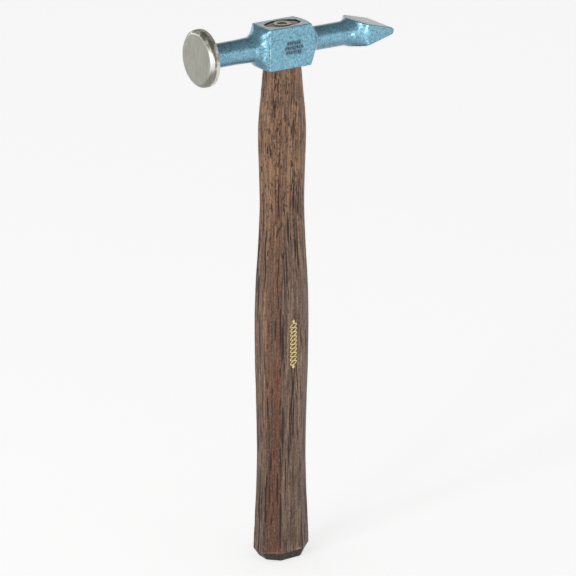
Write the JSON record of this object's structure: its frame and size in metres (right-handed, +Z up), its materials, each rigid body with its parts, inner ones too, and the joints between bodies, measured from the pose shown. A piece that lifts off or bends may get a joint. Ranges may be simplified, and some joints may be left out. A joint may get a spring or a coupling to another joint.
{
  "type": "cross pein hammer",
  "caption": "Light cross pein hammer: round flat face, square eye block, wedge-shaped pein and a shaped wooden handle fixed by a ring wedge.",
  "frame": {"origin": "centre of the handle's flat butt face", "axes": "+Z up the handle to the head, -X towards the round striking face, +X towards the cross pein, +Y across the head"},
  "size_m": [0.1254, 0.0328, 0.3293],
  "materials": {
    "bright_steel": "ground and lightly brushed steel, bright on the rounded edges",
    "hammertone_enamel": "light blue hammertone enamel, glossy, with fine dark speckle",
    "dark_hickory": "flame-browned hickory with long dark pores, thin satin lacquer",
    "wedge_steel": "bright turned steel with hammered rim",
    "gold_foil": "hot-pressed pale gold foil, slightly broken over the pores"
  },
  "bodies": {
    "root": {"head": "bright_steel", "enamel_coat": "hammertone_enamel", "handle": "dark_hickory", "ring_wedge": "wedge_steel", "foil_mark": "gold_foil"}
  },
  "joints": []
}
